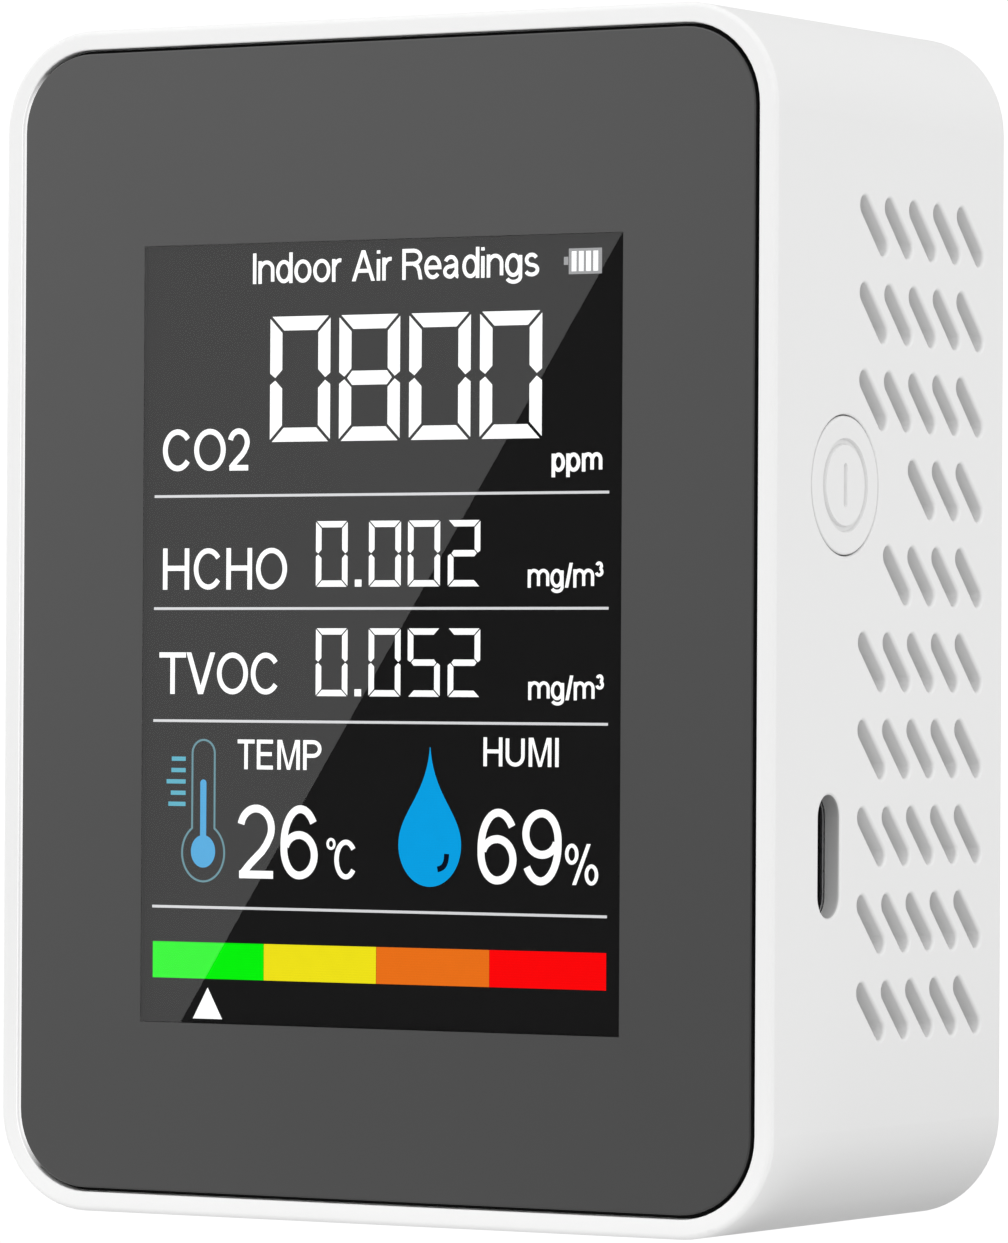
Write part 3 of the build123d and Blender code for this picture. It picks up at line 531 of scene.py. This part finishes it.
# Letters as centre lines in a unit box: (kind, points). X is the height of small letters and
# D the depth of their tails. Kinds: line, loop (closed), level (last end cut level) and
# cross (a bar between two stems).
X = 0.725
D = -0.25
BOWL = ("loop", ring(0.47, X / 2, 0.47, X / 2, 30))
SIX = (
    ("line", arc(0.54, 0.47, 0.54, 0.53, 38, 180, 22) + arc(0.50, 0.40, 0.50, 0.40, 184, 270, 14)
     + arc(0.50, 0.305, 0.50, 0.305, 280, 450, 26) + arc(0.50, 0.37, 0.46, 0.24, 100, 165, 9)),
)
GLYPHS = {
    "C": (("line", arc(0.52, 0.5, 0.52, 0.5, 37, 323, 36)),),
    "E": (("line", [(1, 1), (0, 1), (0, 0), (1, 0)]), ("cross", [(0, 0.52), (1.04, 0.52)])),
    "H": (("line", [(0, 0), (0, 1)]), ("line", [(1, 0), (1, 1)]),
          ("cross", [(0, 0.52), (1, 0.52)])),
    "I": (("line", [(0, 0), (0, 1)]),),
    "O": (("loop", ring(0.5, 0.5, 0.5, 0.5, 40)),),
    "P": (("line", [(0, 0), (0, 1), (0.55, 1)] + arc(0.55, 0.735, 0.45, 0.265, 80, -80, 14)
           + [(0.55, 0.47), (0.1, 0.47)]),),
    "R": (("line", [(0, 0), (0, 1), (0.55, 1)] + arc(0.55, 0.76, 0.42, 0.24, 80, -80, 14)
           + [(0.55, 0.52), (0.1, 0.52)]),
          ("level", [(0.60, 0.50), (0.80, 0.42), (0.90, 0.26), (0.99, -0.07)])),
    "T": (("line", [(-0.1, 1), (1.1, 1)]), ("line", [(0.5, 0), (0.5, 0.94)])),
    "U": (("line", [(0, 1.04)] + arc(0.5, 0.34, 0.5, 0.34, 180, 360, 20) + [(1, 1.04)]),),
    "2": (("level", arc(0.50, 0.70, 0.50, 0.30, 168, -28, 22)
           + [(0.84, 0.455), (0.70, 0.355), (0.50, 0.255), (0.31, 0.16), (0.16, 0.07),
              (0.11, 0.04)]),
          ("line", [(-0.04, 0.0), (1.06, 0.0)])),
    "3": (("line", arc(0.46, 0.76, 0.44, 0.24, 165, -75, 16)),
          ("line", arc(0.46, 0.27, 0.54, 0.27, 78, -165, 18))),
    "6": SIX,
    "9": tuple((kind, [(1 - x, 1 - z) for x, z in points]) for kind, points in SIX),
    "a": (("line", arc(0.44, 0.53, 0.38, X - 0.53, 168, 60, 10)
           + arc(0.52, 0.50, 0.30, 0.18, 40, 0, 4) + [(0.82, 0.13)]
           + arc(0.96, 0.10, 0.14, 0.10, 180, 270, 4)),
          ("line", [(0.76, 0.43), (0.45, 0.38)] + arc(0.38, 0.19, 0.38, 0.19, 100, 280, 14)
           + [(0.62, 0.06), (0.78, 0.20)])),
    "d": (BOWL, ("line", [(1, 0), (1, 1)])),
    "e": (("line", [(0.06, 0.36), (1, 0.36)] + arc(0.5, X / 2, 0.5, X / 2, 10, 318, 34)),),
    "g": (BOWL, ("line", [(1, X), (1, -0.06)] + arc(0.5, -0.06, 0.5, -D - 0.06, -8, -158, 14))),
    "i": (("line", [(0, 0), (0, X)]), ("line", [(0, 0.93), (0, 1.05)])),
    "m": (("line", [(0, 0), (0, X + 0.05)]),
          ("line", arc(0.26, 0.48, 0.24, X - 0.48, 165, 0, 14) + [(0.5, 0)]),
          ("line", arc(0.76, 0.48, 0.24, X - 0.48, 165, 0, 14) + [(1, 0)])),
    "n": (("line", [(0, 0), (0, X + 0.05)]),
          ("line", arc(0.52, 0.46, 0.48, X - 0.46, 165, 0, 16) + [(1, 0)])),
    "o": (("loop", ring(0.5, X / 2, 0.5, X / 2, 30)),),
    "p": (("loop", ring(0.53, X / 2, 0.47, X / 2, 30)), ("line", [(0, D), (0, X + 0.05)])),
    "r": (("line", [(0, 0), (0, X + 0.05)]), ("line", arc(0.95, 0.42, 0.9, X - 0.42, 160, 80, 8))),
    "s": (("line", arc(0.5, 0.54, 0.43, X - 0.54, 25, 262, 18)
           + arc(0.5, 0.175, 0.5, 0.175, 82, -158, 18)),),
}


def solid_letter(letter, w, h, t):
    """Outlines in mm of the letters made of slanted strokes, in a w by h box, stroke t."""
    k, m = 1.08 * t, w / 2
    if letter == "/":
        return [[(0, 0), (k, 0), (w, h), (w - k, h)]]
    if letter == "M":
        slope = 0.82 * h / (m - 1.45 * t)
        dip = h - slope * (m - 1.35 * t)
        return [[(0, 0), (t, 0), (t, 0.82 * h), (m - 0.45 * t, 0), (m + 0.45 * t, 0),
                 (w - t, 0.82 * h), (w - t, 0), (w, 0), (w, h), (w - 1.35 * t, h), (m, dip),
                 (1.35 * t, h), (0, h)]]
    inner = h * (1 - (m - k) / (m - k / 2))
    vee = [(0, h), (0.5 * w - 0.5 * k, 0), (0.5 * w + 0.5 * k, 0), (w, h), (w - k, h),
           (m, inner), (k, h)]
    if letter == "V":
        return [vee]
    z0, z1 = 0.27 * h, 0.27 * h + t
    edge = [k + (m - k / 2) * z / h for z in (z0, z1)]
    return [[(x, h - z) for x, z in vee],
            [(edge[0], z0), (w - edge[0], z0), (w - edge[1], z1), (edge[1], z1)]]


def letter_solids(bm, letter, x0, x1, base, cap, stroke):
    """Adds one letter filling x0 to x1, standing on base with capital height cap."""
    if letter in "/MVA":
        for outline in solid_letter(letter, x1 - x0, cap, stroke):
            prism(bm, [(x0 + x, base + z) for x, z in outline])
        return
    half = stroke / 2
    for kind, points in GLYPHS[letter]:
        line = [(x0 + half + u * (x1 - x0 - stroke), base + half + v * (cap - stroke))
                for u, v in points]
        if kind == "line" and len(line) == 2 and points[0][0] == points[1][0]:
            lift = half if points[0][1] in (0, D) else 0.0
            drop = half if points[1][1] == 1 else 0.0
            line = [(line[0][0], line[0][1] - lift), (line[1][0], line[1][1] + drop)]
        elif kind == "line" and points[0] == (0, 0):
            line[0] = (line[0][0], line[0][1] - half)
        if kind == "cross":
            line = [(line[0][0] + half, line[0][1]), (line[1][0] - half, line[1][1])]
        ribbon(bm, line, stroke, kind == "loop", kind == "level")


def word(letters, spans, base, cap, stroke):
    """Returns a builder for letters whose left and right edges are given as spans.

    base is the height they stand on and cap the height of a capital.
    """
    def build(bm):
        for letter, (x0, x1) in zip(letters, spans):
            letter_solids(bm, letter, x0, x1, base, cap, stroke)
    return build


# Natural widths of the title's letters and spaces in mm
WIDTHS = {" ": 0.52, "I": 0.31, "A": 1.97, "R": 1.72, "i": 0.31, "r": 0.86, "n": 1.38, "d": 1.42,
          "o": 1.47, "e": 1.43, "a": 1.46, "g": 1.42, "s": 1.26}


def heading(text, left, right, base, cap, stroke):
    """Returns a builder for evenly spaced words that fill left to right."""
    gap = (right - left - sum(WIDTHS[letter] for letter in text)) / (len(text) - 1)
    spans, pen = [], left
    for letter in text:
        spans.append((pen, pen + WIDTHS[letter]))
        pen += WIDTHS[letter] + gap
    letters, spans = zip(*[pair for pair in zip(text, spans) if pair[0] != " "])
    return word(letters, spans, base, cap, stroke)


# Seven-segment figures: the segments lit in each, and the size of the decimal dot
DOT_WIDTH, DOT_HEIGHT = 0.56, 0.52
SEGMENTS = {"0": "abcdef", "2": "abged", "5": "afgcd", "8": "abcdefg"}


def segment_outlines(w, h, t, g):
    """Outlines of the seven segments of a w by h figure, stroke t, gap 2g at the mitres."""
    m = h / 2
    upper = [(0, h - g), (0, m + 0.24 * t + g), (0.42 * t, m + 0.6 * g),
             (t, m + 0.5 * t + g), (t, h - t - g)]
    top = [(g, h), (t + g, h - t), (w - t - g, h - t), (w - g, h)]

    def flip(outline):
        return [(w - x, z) for x, z in outline]

    def turn(outline):
        return [(x, h - z) for x, z in outline]

    return {
        "a": top, "d": turn(top), "f": upper, "b": flip(upper),
        "e": turn(upper), "c": turn(flip(upper)),
        "g": [(0.5 * t + g, m), (t + 0.5 * g, m - t / 2), (w - t - 0.5 * g, m - t / 2),
              (w - 0.5 * t - g, m), (w - t - 0.5 * g, m + t / 2), (t + 0.5 * g, m + t / 2)],
    }


def figures(text, lefts, base, width, height, stroke, gap, dot=None):
    """Returns a builder for a row of seven-segment figures, with a decimal dot if given.

    lefts are the figures' left edges, gap is half the space between two segments.
    """
    outlines = segment_outlines(width, height, stroke, gap)

    def build(bm):
        for digit, left in zip(text, lefts):
            for name in SEGMENTS[digit]:
                prism(bm, [(left + x, base + z) for x, z in outlines[name]])
        if dot is not None:
            bar(bm, dot, base, dot + DOT_WIDTH, base + DOT_HEIGHT)
    return build


WHITE_LIT = lit("lit_white", (1.0, 1.0, 1.0), 1.2)
GREY_LIT = lit("lit_grey", (0.40, 0.40, 0.41), 0.9)
RULE_LIT = lit("lit_rule", (0.88, 0.88, 0.90), 0.85)

piece("screen_title", heading("Indoor Air Readings", -11.1, 13.38, 25.72, 2.25, 0.28), WHITE_LIT)
piece("screen_co2", word(
    "CO2", ((-18.95, -16.42), (-16.18, -13.42), (-13.21, -11.32)), 12.0, 3.11, 0.41), WHITE_LIT)
piece("screen_ppm", word(
    "ppm", ((14.52, 15.62), (15.74, 16.89), (17.04, 18.72)), 11.62, 1.80, 0.28), WHITE_LIT)
piece("screen_hcho", word(
    "HCHO", ((-18.88, -16.58), (-16.15, -13.69), (-13.28, -11.05), (-10.68, -7.99)),
    3.23, 3.06, 0.38), WHITE_LIT)
piece("screen_tvoc", word(
    "TVOC", ((-19.15, -16.82), (-16.76, -14.24), (-14.05, -11.35), (-11.08, -8.60)),
    -4.49, 3.08, 0.385), WHITE_LIT)
piece("screen_temp", word(
    "TEMP", ((-12.22, -10.71), (-10.51, -8.98), (-8.72, -6.78), (-6.48, -4.91)),
    -10.0, 2.19, 0.29), WHITE_LIT)
piece("screen_humi", word(
    "HUMI", ((8.94, 10.52), (10.81, 12.39), (12.74, 14.62), (14.95, 15.26)),
    -9.57, 2.09, 0.28), WHITE_LIT)
piece("screen_degrees", word(
    "26", ((-12.18, -8.93), (-8.40, -5.19)), -18.02, 5.43, 0.57), WHITE_LIT)
piece("screen_percent", word(
    "69", ((8.49, 11.75), (12.25, 15.51)), -18.08, 5.46, 0.57), WHITE_LIT)
for row, shift, rise in (("hcho", 0.0, 0.0), ("tvoc", 0.09, -8.08)):
    piece(f"screen_{row}_unit", word(
        "mg/m", [(a + shift, b + shift) for a, b in
                 ((12.58, 14.36), (14.47, 15.56), (15.68, 16.32), (16.38, 18.09))],
        3.31 + rise, 1.78, 0.24), WHITE_LIT)
    piece(f"screen_{row}_cube", word(
        "3", [(18.20 + shift, 18.86 + shift)], 4.09 + rise, 1.09, 0.22), WHITE_LIT)


def celsius(bm):
    ribbon(bm, ring(-4.03, -15.38, 0.29, 0.34, 20), 0.20, True)
    letter_solids(bm, "C", -3.73, -1.82, -17.95, 2.9, 0.37)


def percent_sign(bm):
    ribbon(bm, ring(16.37, -15.80, 0.42, 0.62, 24), 0.27, True)
    ribbon(bm, ring(18.01, -17.26, 0.42, 0.62, 24), 0.27, True)
    prism(bm, [(16.42, -18.0), (16.73, -18.0), (17.93, -15.05), (17.62, -15.05)])


piece("screen_celsius", celsius, WHITE_LIT)
piece("screen_percent_sign", percent_sign, WHITE_LIT)
piece("screen_co2_value",
      figures("0800", (-9.54, -3.55, 2.46, 8.46), 14.07, 5.2, 9.2, 1.03, 0.17), WHITE_LIT)
piece("screen_hcho_value",
      figures("0002", (-5.47, -0.90, 2.44, 5.84), 3.42, 2.72, 4.80, 0.46, 0.075, -2.10), WHITE_LIT)
piece("screen_tvoc_value",
      figures("0052", (-5.43, -0.88, 2.47, 5.88), -4.58, 2.72, 4.96, 0.46, 0.075, -2.08), WHITE_LIT)


def rules(bm):
    for middle in (10.14, 1.83, -6.47, -20.23):
        bar(bm, -19.66, middle - 0.1, 19.30, middle + 0.1)


piece("screen_rules", rules, RULE_LIT)


def battery_frame(bm):
    bar(bm, 15.45, 26.48, 15.80, 27.06)
    bar(bm, 15.86, 25.80, 18.60, 27.65)


def battery_bars(bm):
    for x in (16.10, 16.70, 17.30, 17.90):
        bar(bm, x, 26.0, x + 0.40, 27.45, MARK_FRONT)


piece("screen_battery_frame", battery_frame, GREY_LIT)
piece("screen_battery_bars", battery_bars, WHITE_LIT)

BANDS = (
    ("green", -19.58, -9.84, (0.0, 0.98, 0.002)),
    ("yellow", -9.80, -0.11, (0.955, 0.83, 0.009)),
    ("orange", -0.07, 9.50, (0.90, 0.175, 0.009)),
    ("red", 9.54, 19.26, (1.09, 0.0, 0.001)),
)


def band(x0, x1):
    return lambda bm: bar(bm, x0, -25.50, x1, -22.82)


def pointer(bm):
    prism(bm, [(-16.0, -28.45), (-13.44, -28.45), (-14.72, -26.15)])


for colour_name, x0, x1, colour in BANDS:
    piece(f"screen_band_{colour_name}", band(x0, x1), lit(f"lit_{colour_name}", colour))
piece("screen_pointer", pointer, WHITE_LIT)


def curve(p0, p1, p2, p3, steps):
    """Points of a cubic curve from p0 to p3."""
    points = []
    for i in range(steps + 1):
        s = i / steps
        a, b, c, d = (1 - s) ** 3, 3 * s * (1 - s) ** 2, 3 * s * s * (1 - s), s ** 3
        points.append(tuple(a * q0 + b * q1 + c * q2 + d * q3
                            for q0, q1, q2, q3 in zip(p0, p1, p2, p3)))
    return points


def drop(bm):
    """Pointed top running into a round belly."""
    cx, belly, radius = 4.42, -15.33, 2.66
    side = curve((0.02, -8.25), (0.30, -11.8), (radius, -13.0), (radius, belly), 24)
    right = [(cx + x, z) for x, z in side]
    left = [(cx - x, z) for x, z in side][::-1]
    prism(bm, right + arc(cx, belly, radius, 3.03, 0, -180, 32)[1:-1] + left)


def drop_mark(bm):
    ribbon(bm, curve((5.88, -15.95), (5.86, -16.75), (5.60, -17.0), (5.10, -17.08), 12), 0.42,
           front_y=MARK_FRONT)


def thermometer(bm):
    cx, cz = -15.19, -16.2
    outline = arc(cx, -8.85, 0.98, 0.98, 0, 180, 18)
    outline += arc(cx, cz, 1.86, 2.12, 122, 418, 40)
    ribbon(bm, outline, 0.15, True)


def thermometer_column(bm):
    cx, cz = -15.2, -16.1
    outline = arc(cx, cz, 1.06, 1.2, 104, 436, 36)
    outline += arc(cx, -11.05, 0.26, 0.26, 0, 180, 10)
    prism(bm, outline)


def thermometer_scale(bm):
    for left, z in ((-18.0, -9.28), (-18.03, -10.12), (-18.45, -10.96), (-18.07, -11.80),
                    (-18.28, -12.62)):
        bar(bm, left, z - 0.16, -16.78, z + 0.16)


piece("screen_drop", drop, lit("lit_blue", (0.001, 0.38, 0.84)))
piece("screen_drop_mark", drop_mark, lit("lit_navy", (0.001, 0.004, 0.015)))
piece("screen_thermometer", thermometer, lit("lit_teal", (0.13, 0.29, 0.34)))
piece("screen_thermometer_column", thermometer_column, lit("lit_column", (0.07, 0.42, 0.78)))
piece("screen_thermometer_scale", thermometer_scale, lit("lit_scale", (0.10, 0.46, 0.60)))

# ------------------------------------------------------------------ studio

# Strength at which the camera sees the floor and the surround: plain white
SEEN_WHITE = 1.05


def floor_material():
    """Pale sweep: plain white to the camera, to the object a soft glow.

    The glow is strongest in a band along the front edge, and stronger beside than beneath.
    """
    n = Nodes("floor_pale")
    x, y = n.split(n.geometry("Position"))[:2]
    edge = cad_low.y
    beneath, brightest, beside = 0.53, 0.93, 0.80
    front = n.total(
        n.ramp(y, edge + 4 * MM, edge - 1 * MM, beneath, brightest),
        n.ramp(y, edge - 10 * MM, edge - 18 * MM, 0.0, -0.37),
        n.ramp(y, edge - 60 * MM, edge - 90 * MM, 0.0, 0.18),
    )
    side = n.ramp(n.math("ABSOLUTE", x), cad_high.x + 3 * MM, cad_high.x + 27 * MM, beneath, beside)
    strength = n.choose(n.is_ray("Camera"), n.math("MAXIMUM", front, side), SEEN_WHITE)
    return n.surface(n.new(
        "ShaderNodeEmission", {"Color": rgba(1.0), "Strength": strength}).outputs[0])


floor_mesh = bpy.data.meshes.new("floor")
bm = bmesh.new()
bmesh.ops.create_grid(bm, x_segments=8, y_segments=8, size=12.0)
bm.to_mesh(floor_mesh)
bm.free()
floor_mesh.materials.append(floor_material())
floor = bpy.data.objects.new("floor", floor_mesh)
floor.location.z = cad_low.z - 0.02 * MM
bpy.context.scene.collection.objects.link(floor)
floor.visible_glossy = False

# camera, from the view fitted to the photo: place in mm and turn in degrees, in the part's frame
CAMERA_AT = Vector((285.578, -476.773, 39.090)) * MM
CAMERA_TURN = Euler([math.radians(angle) for angle in (90.50605, -0.32137, 30.90468)])
camera = bpy.data.objects.new("camera", bpy.data.cameras.new("camera"))
bpy.context.scene.collection.objects.link(camera)
camera.matrix_world = Matrix.LocRotScale(CAMERA_AT, CAMERA_TURN, None)
camera.data.sensor_width = 36.0
camera.data.lens = 215.067
camera.data.shift_x, camera.data.shift_y = -0.000175, 0.001113
camera.data.clip_start, camera.data.clip_end = 0.01, 60.0
bpy.context.scene.camera = camera


def glare_normal():
    """Normal of the plane through the mirrored camera and the glare's edge on the window."""

    def on_window(x, z):
        return Vector((MIDDLE.x + x * MM, window_front, MIDDLE.z + z * MM))

    mirrored = Vector((CAMERA_AT.x, 2 * window_front - CAMERA_AT.y, CAMERA_AT.z))
    upper, lower = on_window(19.629, 27.468), on_window(-16.583, -28.174)
    normal = (upper - mirrored).cross(lower - mirrored).normalized()
    bright_side = on_window(-15, 15) - mirrored
    return normal if normal.dot(bright_side) > 0 else -normal


def studio_world():
    """White surround with a soft fall-off; reflections see one large straight-edged panel.

    Reflected rays that turn to the sides and back see the surround instead.
    """
    n = Nodes("studio", world=True)
    direction = n.new("ShaderNodeTexCoord").outputs["Generated"]
    x, y, z = n.split(direction)
    level = n.total(1.03, n.product(y, -0.41), n.product(x, x, 0.16), n.product(z, z, -0.10))
    panel_side = n.new("ShaderNodeVectorMath", {0: direction, 1: glare_normal()},
                       operation="DOT_PRODUCT").outputs["Value"]
    dark, bright = 0.04, 0.86
    shine = n.choose(n.math("GREATER_THAN", panel_side, 0.0), dark, bright)
    reflected = n.choose(n.ramp(y, -0.30, 0.10), shine, level)
    light = n.choose(n.is_ray("Glossy"), level, reflected)
    strength = n.choose(n.is_ray("Camera"), light, SEEN_WHITE)
    return n.surface(n.new(
        "ShaderNodeBackground", {"Color": rgba(1.0), "Strength": strength}).outputs[0])


scene = bpy.context.scene
scene.world = studio_world()
scene.view_settings.view_transform = "Standard"
scene.view_settings.look = "None"
scene.cycles.use_denoising = True
scene.cycles.transparent_max_bounces = 16
